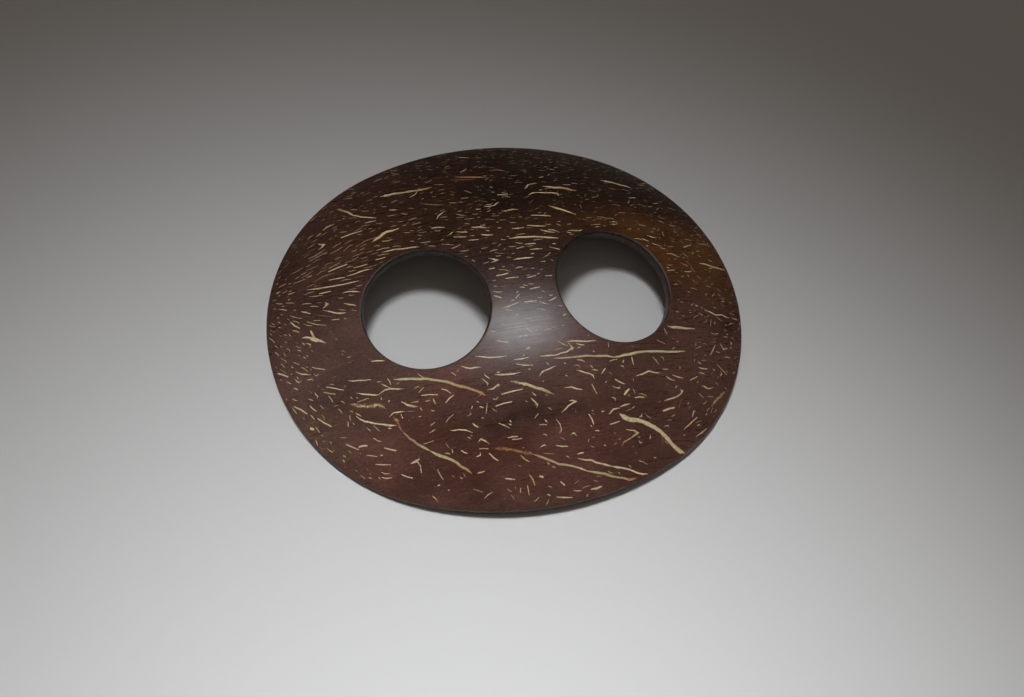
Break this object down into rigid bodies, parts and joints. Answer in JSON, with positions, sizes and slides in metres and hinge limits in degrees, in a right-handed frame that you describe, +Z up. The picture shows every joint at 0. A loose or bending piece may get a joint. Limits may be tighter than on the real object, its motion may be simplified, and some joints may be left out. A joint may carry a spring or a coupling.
{
  "type": "scarf buckle",
  "caption": "Shallow domed oval disc of dark polished coconut shell with large round side-by-side holes that a scarf or sarong is pulled through.",
  "frame": {"origin": "centre of the oval outline, on the flat plane of the ground rim", "axes": "+X through the middles of the two holes towards the right hole, +Y across the narrower width of the oval, +Z up through the top of the dome"},
  "size_m": [0.089, 0.073, 0.0113],
  "materials": {
    "coconut_shell": "dark brown coconut shell, sanded and waxed to a satin polish, flecked all over with short cream fibre ends and a few longer yellow-green veins"
  },
  "bodies": {
    "root": {"buckle_plate": "coconut_shell"}
  },
  "joints": []
}
